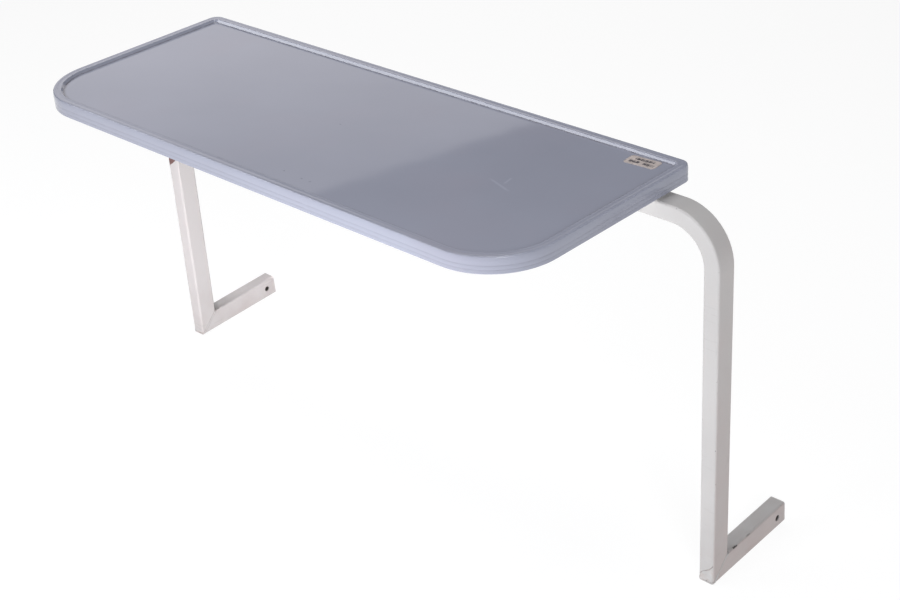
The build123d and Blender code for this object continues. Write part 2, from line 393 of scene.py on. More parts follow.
# --- Materials of the frame -------------------------------------------------------------
PAINT_COLOUR = (0.506, 0.491, 0.484)
PAINT_AGED = (0.506, 0.4738, 0.4598, 1.0)
BROWN_PATCH_COLOUR = (0.115, 0.042, 0.036, 1.0)
CHIP_DARK = (0.045, 0.036, 0.034, 1.0)
GRIME = (0.37, 0.315, 0.30, 1.0)
SIDE_LIGHT_TINT = (0.50, 0.42, 0.405, 1.0)  # painted pinkish light on the outward side of the right leg and foot, low down
SIDE_LIGHT_TOP = 0.36
GRIME_TOP = 0.10
# Chips on the feet: middle, half size and how dark.
FOOT_CHIPS = (
    ((499.2 * MM, -92.0 * MM, 9.4 * MM), (1.6 * MM, 4.6 * MM, 1.1 * MM), 0.95),
    ((499.2 * MM, -63.0 * MM, 10.9 * MM), (1.3 * MM, 3.6 * MM, 0.9 * MM), 0.4),
    ((480.0 * MM, -70.5 * MM, 10.8 * MM), (0.9 * MM, 2.0 * MM, 0.7 * MM), 0.3),
    ((-479.2 * MM, -101.0 * MM, 9.0 * MM), (1.1 * MM, 2.6 * MM, 0.9 * MM), 0.5),
)


def painted_steel(name, corner_axis):
    """Warm white powder coat: orange peel, thin scuffs, chipped corners and grime low down."""
    skin = Finish(name, roughness=0.45)
    clouds = skin.noise(7.0, 3.0)
    peel = skin.noise(420.0, 2.0)
    fine = skin.noise(1600.0, 2.0)
    colour = skin.clouded(clouds, PAINT_COLOUR, 0.965, 1.03)
    blotch = skin.spread(skin.noise(28.0, 4.0), 0.52, 0.74, 0.0, 0.35)
    colour = skin.tint(blotch, colour, PAINT_AGED)

    height = skin.axis(skin.place, 2)
    low_down = skin.spread(height, GRIME_TOP, cad_low.z)
    soiled = skin.product(low_down, skin.spread(skin.noise(34.0, 5.0), 0.34, 0.72), 0.42)
    colour = skin.tint(soiled, colour, GRIME)
    # Painted light: a pinkish tint on the outward faces of the right leg and foot, fading upward,
    # standing in for warm bounce light from the floor.
    outward = skin.product(
        skin.spread(skin.axis(skin.normal, 0), 0.5, 0.9),
        skin.spread(skin.axis(skin.place, 0), 0.40, 0.48),
    )
    painted_side_light = skin.product(
        outward,
        skin.spread(height, SIDE_LIGHT_TOP, cad_low.z, 0.25, 1.0),
        skin.even(skin.noise(26.0, 4.0), 0.55, 0.95),
    )
    colour = skin.tint(painted_side_light, colour, SIDE_LIGHT_TINT)
    rubs = skin.product(
        skin.spread(skin.noise(1.0, 3.0, stretch=(26.0, 26.0, 420.0)), 0.64, 0.72),
        skin.spread(skin.noise(10.0, 2.0), 0.5, 0.62),
    )
    scuffs = skin.product(
        skin.spread(skin.noise(1.0, 3.0, (0.0, 0.7, 0.4), (700.0, 30.0, 30.0)), 0.66, 0.74),
        skin.spread(skin.noise(13.0, 2.0), 0.5, 0.6),
    )
    colour = skin.cover(colour, skin.most(rubs, scuffs), 0.3, shade(PAINT_COLOUR, 0.62))

    if corner_axis is None:
        corner = skin.sharp_edges(0.8 * MM)
    else:
        corner = skin.round_corners(corner_axis)
    chips = skin.product(
        skin.spread(corner, 0.55, 0.95),
        skin.spread(skin.noise(190.0, 5.0), 0.66, 0.70),
        skin.spread(skin.noise(16.0, 2.0), 0.46, 0.56),
    )
    for centre, size, strength in FOOT_CHIPS:
        chip = skin.calc("MULTIPLY", skin.spot(centre, size, 0.6, 620.0), strength)
        chips = skin.most(chips, chip)
    pale = skin.product(skin.spread(corner, 0.3, 0.9), skin.spread(skin.noise(50.0, 4.0), 0.5, 0.7))
    colour = skin.cover(colour, pale, 0.35, shade(PAINT_COLOUR, 1.12))
    colour = skin.cover(colour, chips, 0.9, CHIP_DARK)
    brown_patch = slanted_brown_patch(skin)
    colour = skin.cover(colour, brown_patch, 0.92, BROWN_PATCH_COLOUR)

    gloss = skin.even(skin.noise(12.0, 4.0), 0.38, 0.52)
    gloss = skin.calc("ADD", gloss, skin.calc("MULTIPLY", skin.most(chips, brown_patch, soiled), 0.3))
    normal = skin.bump(peel, 0.025 * MM)
    normal = skin.bump(fine, 0.006 * MM, normal)
    bare = skin.calc("SUBTRACT", 1.0, skin.most(chips, brown_patch, skin.calc("MULTIPLY", scuffs, 0.2)))
    normal = skin.bump(bare, 0.12 * MM, normal)
    return skin.finish(colour, gloss, normal)


# Across the leg, the brown patch's lower edge rises and its upper edge falls: the height at
# the leg's outer side, and the slope.
BROWN_PATCH_LOWER = (266.0 * MM, 0.75)
BROWN_PATCH_UPPER = (301.0 * MM, 0.5)
BROWN_PATCH_TORN = 1.6 * MM
BROWN_PATCH_EDGE = 0.3 * MM


def slanted_brown_patch(skin):
    """A slanted, torn reddish-brown patch on the left leg's front, under the tray."""
    lower_height, lower_slope = BROWN_PATCH_LOWER
    upper_height, upper_slope = BROWN_PATCH_UPPER
    x = skin.calc("ADD", skin.axis(skin.place, 0), leg_x + TUBE_WIDTH / 2)
    z = skin.axis(skin.place, 2)
    torn = skin.spread(skin.noise(330.0, 4.0), 0.2, 0.8, -BROWN_PATCH_TORN, BROWN_PATCH_TORN)
    lower = skin.calc("ADD", skin.calc("MULTIPLY", x, lower_slope), lower_height)
    above = skin.calc("SUBTRACT", skin.calc("ADD", z, torn), lower)
    fallen = skin.calc("ADD", skin.calc("MULTIPLY", x, upper_slope), z)
    below = skin.calc("ADD", skin.calc("SUBTRACT", upper_height, fallen), torn)
    front = skin.spread(skin.axis(skin.place, 1), leg_front + 3.0 * MM, leg_front + 2.4 * MM)
    left = skin.spread(x, TUBE_WIDTH, 0.98 * TUBE_WIDTH)
    rise = skin.spread(above, 0.0, BROWN_PATCH_EDGE)
    fall = skin.spread(below, 0.0, BROWN_PATCH_EDGE)
    return skin.product(rise, fall, front, left)


WELD_STAIN = (0.42, 0.33, 0.29, 1.0)
WELD_TOE_DARK = (0.12, 0.09, 0.085, 1.0)


def weld_metal():
    """Ground weld under paint: ripples, grinding marks, thin rust and grime in the toes."""
    skin = Finish("weld_paint", roughness=0.45)
    clouds = skin.noise(60.0, 4.0)
    grind = skin.noise(1.0, 3.0, (0.8, 0.0, 0.0), (80.0, 1100.0, 120.0))
    colour = skin.clouded(clouds, PAINT_COLOUR, 0.86, 1.1)
    stain = skin.spread(skin.noise(150.0, 4.0), 0.5, 0.68)
    colour = skin.cover(colour, stain, 0.45, WELD_STAIN)
    patchy = skin.spread(skin.noise(200.0, 3.0), 0.3, 0.6, 0.4, 1.0)
    toe = skin.product(skin.attribute("toe"), patchy)
    colour = skin.cover(colour, toe, 0.85, WELD_TOE_DARK)
    normal = skin.bump(skin.noise(700.0, 4.0), 0.09 * MM)
    normal = skin.bump(grind, 0.11 * MM, normal)
    return skin.finish(colour, skin.even(clouds, 0.4, 0.62), normal)


# --- Materials of the hidden and small pieces ---------------------------------------------
BOARD_DARK = (0.30, 0.20, 0.12, 1.0)
BOARD_LIGHT = (0.50, 0.36, 0.22, 1.0)
BOARD_FLECK = (0.20, 0.12, 0.07, 1.0)
LAMINATE_COLOUR = (0.60, 0.60, 0.585)
LAMINATE_EDGE = (0.34, 0.26, 0.18, 1.0)
NYLON_COLOUR = (0.58, 0.56, 0.55)


def fibreboard():
    """Bare fibreboard, seen only at its cut edge."""
    skin = Finish("board", roughness=0.85)
    fibres = skin.noise(900.0, 4.0, stretch=(1.0, 1.0, 3.0))
    flecks = skin.noise(240.0, 3.0)
    colour = skin.tint(skin.even(fibres), BOARD_DARK, BOARD_LIGHT)
    colour = skin.tint(skin.spread(flecks, 0.62, 0.70), colour, BOARD_FLECK)
    return skin.finish(colour, skin.even(fibres, 0.75, 0.95), skin.bump(fibres, 0.15 * MM))


def backing_laminate():
    """Matt grey-white balancing laminate, with glue haze and rub marks."""
    skin = Finish("laminate", roughness=0.5)
    haze = skin.noise(8.0, 4.0)
    speckle = skin.noise(800.0, 3.0)
    colour = skin.clouded(haze, LAMINATE_COLOUR, 0.9, 1.05)
    flecks = skin.spread(speckle, 0.6, 0.75, 0.0, 0.25)
    colour = skin.tint(flecks, colour, shade(LAMINATE_COLOUR, 0.6))
    rubbed = skin.most(skin.hairlines(0.2, 0.7), skin.hairlines(1.7, 0.7), skin.hairlines(-0.9, 0.72))
    colour = skin.cover(colour, rubbed, 0.35, shade(LAMINATE_COLOUR, 0.72))
    edge = skin.product(skin.sharp_edges(0.6 * MM), skin.spread(skin.noise(90.0, 3.0), 0.4, 0.6))
    colour = skin.cover(colour, edge, 0.5, LAMINATE_EDGE)
    normal = skin.bump(speckle, 0.02 * MM, skin.bump(haze, 0.2 * MM))
    return skin.finish(colour, skin.even(haze, 0.42, 0.6), normal)


def plain_metal(name, base, roughness, tarnish, tarnish_share):
    """Bare metal with a fine turned grain, cloudy polish, bright edges and some tarnish."""
    skin = Finish(name, roughness, metallic=1.0)
    clouds = skin.noise(90.0, 4.0)
    grain = skin.noise(1.0, 2.0, stretch=(2600.0, 2600.0, 260.0))
    colour = skin.clouded(clouds, base, 0.82, 1.08)
    edge = skin.sharp_edges(0.4 * MM)
    colour = skin.cover(colour, edge, 0.4, shade(base, 1.3))
    dull = skin.product(skin.spread(skin.noise(240.0, 4.0), 0.52, 0.64), tarnish_share)
    colour = skin.tint(dull, colour, tarnish)
    polish = skin.even(clouds, roughness - 0.08, roughness + 0.1)
    polish = skin.calc("ADD", polish, skin.calc("MULTIPLY", dull, 0.35))
    normal = skin.bump(grain, 0.02 * MM, skin.bump(dull, 0.03 * MM))
    skin.feed(skin.shader.inputs["Metallic"], skin.spread(dull, 0.0, 0.8, 1.0, 0.2))
    return skin.finish(colour, polish, normal)


def plug_nylon():
    """Grey-white moulded nylon of the foot plugs, dusty and scuffed at its edges."""
    skin = Finish("plug_plastic", roughness=0.5)
    clouds = skin.noise(90.0, 3.0)
    texture = skin.noise(1300.0, 2.0)
    colour = skin.clouded(clouds, NYLON_COLOUR, 0.9, 1.06)
    edge = skin.product(skin.sharp_edges(1.0 * MM), skin.spread(skin.noise(160.0, 4.0), 0.4, 0.6))
    colour = skin.cover(colour, edge, 0.5, GRIME)
    normal = skin.bump(texture, 0.03 * MM)
    return skin.finish(colour, skin.even(clouds, 0.42, 0.58), normal)


# --- Mesh helpers -----------------------------------------------------------------------
def mesh_piece(name, points, faces, material):
    """A smooth-shaded mesh piece, with outward normals, that rides on the one body."""
    data = bpy.data.meshes.new(name)
    data.from_pydata(points, [], faces)
    work = bmesh.new()
    work.from_mesh(data)
    bmesh.ops.recalc_face_normals(work, faces=work.faces)
    work.to_mesh(data)
    work.free()
    data.shade_smooth()
    data.materials.append(material)
    piece = bpy.data.objects.new(name, data)
    scene.collection.objects.link(piece)
    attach(piece, "root")
    return piece


def point_values(piece, name, values):
    """Store one number per vertex, for the material to read."""
    layer = piece.data.attributes.new(name, "FLOAT", "POINT")
    layer.data.foreach_set("value", values)


def loop_faces(loops, count, closed_across):
    """Quads that join neighbouring loops of points, each loop closed on itself."""
    faces = []
    rows = loops if closed_across else loops - 1
    for row in range(rows):
        after = (row + 1) % loops
        for step in range(count):
            ahead = (step + 1) % count
            near = (row * count + step, row * count + ahead)
            far = (after * count + ahead, after * count + step)
            faces.append(near + far)
    return faces


def sheet_faces(columns, rows):
    """Quads of a sheet whose points run along its rows, one row after another."""
    width = columns + 1
    faces = []
    for row in range(rows):
        for column in range(columns):
            first = row * width + column
            faces.append((first, first + 1, first + 1 + width, first + width))
    return faces


def thicken(piece, thickness, offset):
    """Give a sheet its thickness, outward with offset 1 and inward with offset -1."""
    modifier = piece.modifiers.new("thickness", "SOLIDIFY")
    modifier.thickness = thickness
    modifier.offset = offset


# --- Tray shell -------------------------------------------------------------------------
def tray_ring(inset):
    """Points round the tray's edge moved in by an inset, the same number at every inset."""
    front = FRONT_CORNER - inset
    rear = REAR_CORNER - inset * REAR_CORNER_KEEP
    corners = (
        (-1, -1, front, pi),
        (1, -1, front, 1.5 * pi),
        (1, 1, rear, 0.0),
        (-1, 1, rear, 0.5 * pi),
    )
    arcs = []
    for side_x, side_y, radius, start in corners:
        x = tray_centre.x + side_x * (tray_half_length - inset - radius)
        y = tray_centre.y + side_y * (tray_half_width - inset - radius)
        turns = [start + 0.5 * pi * step / ARC_STEPS for step in range(ARC_STEPS + 1)]
        arcs.append([Vector((x + radius * cos(turn), y + radius * sin(turn), 0.0)) for turn in turns])
    ring = []
    for index, arc in enumerate(arcs):
        ring.extend(arc)
        following = arcs[(index + 1) % 4][0]
        steps = LONG_RUN_STEPS if index % 2 == 0 else SHORT_RUN_STEPS
        ring.extend(arc[-1].lerp(following, step / steps) for step in range(1, steps))
    return ring


def profile_arc(inset, height, radius, start, end, steps):
    """Profile points on an arc. 0 degrees points out of the tray, and 90 points up."""
    turns = [radians(start + (end - start) * step / steps) for step in range(steps + 1)]
    return [(inset - radius * cos(turn), height + radius * sin(turn)) for turn in turns]


def line_inset(height):
    """How far the side stands in at a height: shallow bands that meet in soft lines."""
    near = min(abs(height - line) for line in SIDE_LINES)
    return LINE_DEPTH * exp(-near / LINE_REACH)


def tray_profile():
    """The shell's section as (inset, height, wear, painted shade with some grime), from its underside
    round to its top.
    """
    profile = []

    def run(points, wear=0.0, grime_and_shade=0.0):
        profile.extend((inset, height, wear, grime_and_shade) for inset, height in points)

    channel_end = SHELL_WALL + CHANNEL_WIDTH
    channel_top = board_height + recess_depth
    run([(channel_end + SUPPORT, board_height), (channel_end, board_height)])
    run([(channel_end, channel_top), (SHELL_WALL, channel_top)])
    run([(SHELL_WALL, board_height), (SHELL_WALL, 2 * SUPPORT)], grime_and_shade=0.4)
    run(profile_arc(SHELL_WALL - SUPPORT, SUPPORT, SUPPORT, 180.0, 270.0, 4), wear=0.5)
    run(profile_arc(LOWER_EDGE, LOWER_EDGE, LOWER_EDGE, -90.0, 0.0, 6), wear=0.8)

    rim_lean = radians(SHOULDER_ANGLE)
    shoulder_end = tray_height - RIM_EDGE * (1 - sin(rim_lean))
    shoulder_start = shoulder_end - SHOULDER_RADIUS * sin(rim_lean)
    side_steps = int((shoulder_start - LOWER_EDGE) / SIDE_STEP)
    for step in range(1, side_steps + 1):
        height = LOWER_EDGE + step * SIDE_STEP
        inset = line_inset(height)
        # The hollows of the moulded lines get painted shade, with some grime.
        run([(inset, height)], grime_and_shade=0.5 * (inset / LINE_DEPTH) ** 3)
    shoulder = profile_arc(SHOULDER_RADIUS, shoulder_start, SHOULDER_RADIUS, 0.0, SHOULDER_ANGLE, 8)
    run(shoulder[1:-1])
    edge_inset = shoulder[-1][0] + RIM_EDGE * cos(rim_lean)
    run(profile_arc(edge_inset, tray_height - RIM_EDGE, RIM_EDGE, SHOULDER_ANGLE, 90.0, 8), wear=1.0)

    lip_start = RIM_WIDTH - RIM_INNER_EDGE * tan(radians(45.0 - RECESS_SLOPE / 2))
    dish_run = lip_start - RIM_FLAT_END
    run([(RIM_FLAT_END - SUPPORT, tray_height)])
    for step in range(RIM_DISH_STEPS + 1):
        share = step / RIM_DISH_STEPS
        inside = 0 < step < RIM_DISH_STEPS
        dish = RIM_DISH * sin(pi * share) ** 0.8 if inside else 0.0
        run([(RIM_FLAT_END + dish_run * share, tray_height - dish)])
    lip_centre = tray_height - RIM_INNER_EDGE
    run(profile_arc(lip_start, lip_centre, RIM_INNER_EDGE, 90.0, 180.0 - RECESS_SLOPE, 6)[1:], wear=0.7)

    foot_reach = RECESS_FOOT * tan(radians(45.0 - RECESS_SLOPE / 2))
    foot_inset = RIM_WIDTH + recess_depth * tan(radians(RECESS_SLOPE)) + foot_reach
    foot = profile_arc(foot_inset, surface_height + RECESS_FOOT, RECESS_FOOT, -RECESS_SLOPE, -90.0, 6)
    slope_end = Vector(foot[0])
    slope_start = Vector(profile[-1][:2])
    run([slope_start.lerp(slope_end, share) for share in (0.1, 0.5, 0.9)])
    # Painted shade, with some grime, along the recess foot.
    run(foot, grime_and_shade=0.9)
    run([(foot_inset + SUPPORT, surface_height), (foot_inset + 3 * SUPPORT, surface_height)], grime_and_shade=0.3)
    run([(foot_inset + 8 * SUPPORT, surface_height)])
    return profile


def add_tray_shell():
    """The moulded shell: one section carried round the tray's outline, closed top and bottom."""
    profile = tray_profile()
    points = []
    wear = []
    grime_and_shade = []
    for inset, height, worn, darkened in profile:
        for spot in tray_ring(inset):
            points.append((spot.x, spot.y, shell_low.z + height))
            wear.append(worn)
            grime_and_shade.append(darkened)
    count = len(points) // len(profile)
    faces = loop_faces(len(profile), count, closed_across=False)
    faces.append(tuple(reversed(range(count))))
    faces.append(tuple(range(len(points) - count, len(points))))
    shell = mesh_piece("tray_shell", points, faces, tray_plastic())
    point_values(shell, "wear", wear)
    point_values(shell, "grime_and_shade", grime_and_shade)
    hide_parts("tabletop_shell")


# --- Label ------------------------------------------------------------------------------
LABEL_COLUMNS = 36
LABEL_ROWS = 20
LABEL_CURL = 0.55 * MM  # rise of the lifting corner, and how far in from the corner it starts
LABEL_CURL_REACH = 9.0 * MM
LABEL_WRINKLE = 0.05 * MM
LABEL_WRINKLE_LENGTH = 7.0 * MM
LABEL_GAP = 0.06 * MM


def label_corner(value, other):
    """Pull a grid point in the label's corner square onto its rounded corner."""
    reach = hypot(value, other)
    if reach == 0.0:
        return value
    return value / reach * max(value, other)


def add_label():
    """The stuck label: a thin sheet with rounded corners, one corner lifting a little."""
    centre = (label_low + label_high) / 2
    turn = Matrix.Rotation(LABEL_TURN, 2)
    points = []
    along = []
    across = []
    edge = []
    flat_x = LABEL_LENGTH / 2 - LABEL_CORNER
    flat_y = LABEL_WIDTH / 2 - LABEL_CORNER
    for row in range(LABEL_ROWS + 1):
        for column in range(LABEL_COLUMNS + 1):
            share_x = column / LABEL_COLUMNS
            share_y = row / LABEL_ROWS
            x = (share_x - 0.5) * LABEL_LENGTH
            y = (share_y - 0.5) * LABEL_WIDTH
            past_x = max(abs(x) - flat_x, 0.0) / LABEL_CORNER
            past_y = max(abs(y) - flat_y, 0.0) / LABEL_CORNER
            if past_x > 0.0 and past_y > 0.0:
                x = (flat_x + LABEL_CORNER * label_corner(past_x, past_y)) * (1 if x > 0 else -1)
                y = (flat_y + LABEL_CORNER * label_corner(past_y, past_x)) * (1 if y > 0 else -1)
            from_corner = hypot(LABEL_LENGTH / 2 - x, LABEL_WIDTH / 2 - y)
            curl = LABEL_CURL * max(0.0, 1.0 - from_corner / LABEL_CURL_REACH) ** 2
            wave = noise.noise(Vector((x, y, 0.0)) / LABEL_WRINKLE_LENGTH)
            turned = turn @ Vector((x, y))
            lift = LABEL_GAP + curl + LABEL_WRINKLE * wave
            points.append((centre.x + turned.x, centre.y + turned.y, label_low.z + lift))
            along.append(share_x)
            across.append(share_y)
            rim = min(share_x, 1 - share_x, share_y * 0.5, (1 - share_y) * 0.5)
            edge.append(max(0.0, 1.0 - rim * LABEL_COLUMNS / 1.5))
    faces = sheet_faces(LABEL_COLUMNS, LABEL_ROWS)
    label = mesh_piece("printed_label", points, faces, label_paper())
    point_values(label, "along", along)
    point_values(label, "across", across)
    point_values(label, "edge", edge)
    thicken(label, LABEL_THICKNESS, 1.0)
    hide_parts("asset_label")


# --- Foot welds -------------------------------------------------------------------------
WELD_STATIONS = 240
WELD_PROUD = 0.22 * MM
WELD_HALF_WIDTH = 2.1 * MM
WELD_RIPPLE = 2.3 * MM  # length of one ripple along the bead
WELD_UNEVEN = 3.5 * MM  # length over which the bead grows and shrinks
WELD_SUNK = 0.02 * MM  # how far a bead's edges lie under the tube's surface
WELD_ROOT = 0.2 * MM
BEAD_STEPS = 8
SECTION_CORNER_STEPS = 12
PATCH_COLUMNS = 30
PATCH_ROWS = 60
PATCH_BOTTOM = 0.5 * MM
PATCH_MARGIN = 0.5 * MM
PATCH_WAVE = 0.8 * MM
PATCH_PROUD = 0.24 * MM
PATCH_SUNK = 0.04 * MM
PATCH_LUMP = 2.6 * MM
PATCH_THICKNESS = 0.4 * MM
TOE_BELOW_TOP = 1.2 * MM  # where the dark line lies below a patch's upper edge
TOE_WIDTH = 0.8 * MM
# Upper edge of the ground weld at each heel: its height, how it climbs outward, how dark it is.
HEEL_PATCHES = {
    "left": (11.0 * MM, -2.0 * MM, 0.0, 0.2),
    "right": (19.5 * MM, 6.5 * MM, 4.5 * MM, 1.0),
}


def mitre_perimeter(half_x, half_v, corner_x, corner_v):
    """Even steps round the mitred tube section: (x, v, outward x, outward v, distance)."""
    dense = []
    for index, (side_x, side_v) in enumerate(((1, 1), (-1, 1), (-1, -1), (1, -1))):
        for step in range(SECTION_CORNER_STEPS + 1):
            turn = 0.5 * pi * (index + step / SECTION_CORNER_STEPS)
            x = side_x * (half_x - corner_x) + corner_x * cos(turn)
            v = side_v * (half_v - corner_v) + corner_v * sin(turn)
            dense.append((x, v, cos(turn), sin(turn)))
    dense.append(dense[0])
    distances = [0.0]
    for before, after in zip(dense, dense[1:]):
        distances.append(distances[-1] + hypot(after[0] - before[0], after[1] - before[1]))
    stations = []
    index = 0
    for step in range(WELD_STATIONS):
        distance = distances[-1] * step / WELD_STATIONS
        while distances[index + 1] < distance:
            index += 1
        share = (distance - distances[index]) / (distances[index + 1] - distances[index])
        mixed = [a + (b - a) * share for a, b in zip(dense[index], dense[index + 1])]
        stations.append((*mixed, distance))
    return stations


def bead_section(out_v, bulk):
    """One section of the bead as (outward, along the mitre's normal, toe) points."""
    lean = -out_v * tan(MITRE_ANGLE)
    width = WELD_HALF_WIDTH * (0.75 + 0.35 * bulk)
    proud = WELD_PROUD * bulk + 0.55 * max(0.0, -lean) * width
    web = WELD_GAP / 2 - WELD_SUNK
    section = [(-TUBE_WALL, -web, 0.0), (-WELD_ROOT, -web, 0.0)]
    for step in range(BEAD_STEPS + 1):
        share = 2 * step / BEAD_STEPS - 1
        across = share * width
        swell = proud * (1 - share * share) - lean * abs(across) * abs(share) - WELD_SUNK
        section.append((swell, across, abs(share) ** 4))
    section += [(-WELD_ROOT, web, 0.0), (-TUBE_WALL, web, 0.0)]
    return section


def add_foot_weld(side, direction):
    """The ground weld round the mitre between a leg and its foot."""
    low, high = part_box(f"{side}_foot_weld")
    centre = (low + high) / 2
    along = Vector((0.0, cos(MITRE_ANGLE), sin(MITRE_ANGLE)))
    normal = Vector((0.0, -sin(MITRE_ANGLE), cos(MITRE_ANGLE)))
    stretch = 1 / cos(MITRE_ANGLE)
    stations = mitre_perimeter(
        TUBE_WIDTH / 2, TUBE_DEPTH / 2 * stretch, TUBE_CORNER, TUBE_CORNER * stretch
    )
    points = []
    toes = []
    for x, v, out_x, out_v, distance in stations:
        outward = Vector((out_x, 0.0, 0.0)) + along * out_v
        jitter = noise.noise(Vector((distance / WELD_UNEVEN, 4.0 * direction, 0.0)))
        scallop = 0.5 + 0.5 * sin(2 * pi * distance / WELD_RIPPLE + 2.0 * jitter)
        bulk = 0.62 + 0.3 * scallop + 0.35 * jitter
        at = centre + Vector((x, 0.0, 0.0)) + along * v
        for reach, across, toe in bead_section(out_v, bulk):
            point = at + outward * reach + normal * across
            point.x = min(max(point.x, low.x), high.x)
            points.append(point)
            toes.append(toe)
    count = len(points) // len(stations)
    faces = loop_faces(len(stations), count, closed_across=True)
    bead = mesh_piece(f"{side}_weld_bead", points, faces, finishes["weld_paint"])
    point_values(bead, "toe", toes)
    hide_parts(f"{side}_foot_weld")
    patch = add_heel_patch(side, centre, along)
    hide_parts(f"{side}_foot_weld")


def add_heel_patch(side, centre, along):
    """Weld metal ground flat over the leg's front at the heel, with a curved upper edge."""
    heel = centre - along * (TUBE_DEPTH / 2 / cos(MITRE_ANGLE))
    half = TUBE_WIDTH / 2 - PATCH_MARGIN
    middle, climb, curl, darkness = HEEL_PATCHES[side]
    points = []
    toes = []
    for row in range(PATCH_ROWS + 1):
        for column in range(PATCH_COLUMNS + 1):
            across = 2 * column / PATCH_COLUMNS - 1
            up = row / PATCH_ROWS
            wave = noise.noise(Vector((across * 3.0, middle / MM, 0.5)))
            top = middle + climb * across + curl * across ** 3 + PATCH_WAVE * wave
            x = across * half
            z = PATCH_BOTTOM + (top - PATCH_BOTTOM) * up
            past_corner = max(0.0, abs(x) - (TUBE_WIDTH / 2 - TUBE_CORNER))
            fall = TUBE_CORNER - (TUBE_CORNER ** 2 - past_corner ** 2) ** 0.5
            fade = min(1.0, 5.0 * (1.0 - abs(across)), 40.0 * (1.0 - up), 9.0 * up)
            lump = 0.6 + 0.4 * noise.noise(Vector((x, z, middle)) / PATCH_LUMP)
            proud = PATCH_PROUD * fade * lump - PATCH_SUNK
            points.append((centre.x + x, heel.y + fall - proud, heel.z + z))
            from_top = (1.0 - up) * (top - PATCH_BOTTOM)
            from_line = (from_top - TOE_BELOW_TOP) / TOE_WIDTH
            toes.append(darkness * exp(-from_line * from_line))
    faces = sheet_faces(PATCH_COLUMNS, PATCH_ROWS)
    patch = mesh_piece(f"{side}_heel_patch", points, faces, finishes["weld_paint"])
    point_values(patch, "toe", toes)
    thicken(patch, PATCH_THICKNESS, -1.0)
    return patch


# --- Bearer welds -----------------------------------------------------------------------
FILLET_LEG = 3.0 * MM
FILLET_STEPS = 72
FILLET_ARC = 8
FILLET_RIPPLES = 11.0
FILLET_ROOT = 0.2 * MM


def add_bearer_welds():
    """Four hand-laid fillet beads between the bearers and the rail, with stacked ripples."""
    low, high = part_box("bearer_welds")
    points = []
    faces = []
    toes = []
    for side in ("left", "right"):
        bearer_low, bearer_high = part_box(f"{side}_bearer")
        for edge, direction in ((bearer_low.x, -1), (bearer_high.x, 1)):
            first = len(points)
            for step in range(FILLET_STEPS + 1):
                share = step / FILLET_STEPS
                y = low.y + (high.y - low.y) * share
                end = min(1.0, 10 * share, 10 * (1 - share)) ** 0.5
                jitter = noise.noise(Vector((share * 9.0, edge * 40.0, direction)))
                scallop = (share * FILLET_RIPPLES + 0.3 * jitter) % 1.0
                leg = FILLET_LEG * (0.72 + 0.16 * scallop + 0.12 * jitter) * max(end, 0.15)
                points.append((edge - direction * FILLET_ROOT, y, rail_top - FILLET_ROOT))
                toes.append(0.0)
                for turn in range(FILLET_ARC + 1):
                    angle = 0.5 * pi * turn / FILLET_ARC
                    full = leg * (0.86 + 0.12 * sin(2 * angle))
                    x = edge + direction * full * cos(angle)
                    points.append((x, y, rail_top + full * sin(angle)))
                    toes.append(abs(2 * turn / FILLET_ARC - 1) ** 4)
            count = FILLET_ARC + 2
            last = FILLET_STEPS * count
            stack = loop_faces(FILLET_STEPS + 1, count, closed_across=False)
            faces.extend(tuple(first + index for index in face) for face in stack)
            faces.append(tuple(first + index for index in range(count)))
            faces.append(tuple(first + last + index for index in range(count)))
    beads = mesh_piece("bearer_weld_beads", points, faces, finishes["weld_paint"])
    point_values(beads, "toe", toes)
    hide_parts("bearer_welds")


# --- Floor and light --------------------------------------------------------------------
FLOOR_REACH = 60.0
FLOOR_GLOW = 0.89
FLOOR_COLOUR = (0.16, 0.16, 0.16, 1.0)


def add_floor():
    """A plain white floor that glows evenly, so that only a faint contact shadow shows."""
    skin = Finish("floor", roughness=0.9)
    skin.shader.inputs["Specular IOR Level"].default_value = 0.0
    skin.feed(skin.shader.inputs["Emission Color"], WHITE)
    skin.feed(skin.shader.inputs["Emission Strength"], FLOOR_GLOW)
    material = skin.finish(FLOOR_COLOUR)
    data = bpy.data.meshes.new("floor")
    sides = ((-1, -1), (1, -1), (1, 1), (-1, 1))
    corners = [(x * FLOOR_REACH, y * FLOOR_REACH, cad_low.z) for x, y in sides]
    data.from_pydata(corners, [], [(0, 1, 2, 3)])
    data.materials.append(material)
    floor = bpy.data.objects.new("floor", data)
    scene.collection.objects.link(floor)


def add_softbox(name, at, aim, size, power, colour=WHITE[:3], spread=180.0, mirrored=True):
    """A rectangular softbox that the camera doesn't see. Its beam spreads by some degrees."""
    data = bpy.data.lights.new(name, "AREA")
    data.shape = "RECTANGLE"
    data.size, data.size_y = size
    data.energy = power
    data.color = colour
    data.spread = radians(spread)
    lamp = bpy.data.objects.new(name, data)
    lamp.location = at
    lamp.rotation_euler = (Vector(aim) - Vector(at)).to_track_quat("-Z", "Y").to_euler()
    lamp.visible_camera = False
    lamp.visible_glossy = mirrored
    scene.collection.objects.link(lamp)


# The pale paper up behind the left end, which the glossy tray mirrors: its two ends seen from
# above, the heights of its slanted top edge there, and where its glow fades with height.
PAPER_LEFT = (-2.82, 0.46, 2.14)
PAPER_RIGHT = (-1.08, 2.39, 1.48)
PAPER_FOOT = 0.62
PAPER_FADE = (1.36, 1.73)
PAPER_GLOW = (1.05, 0.52)
WARM = (1.0, 0.96, 0.975, 1.0)
BLACK = (0.0, 0.0, 0.0, 1.0)


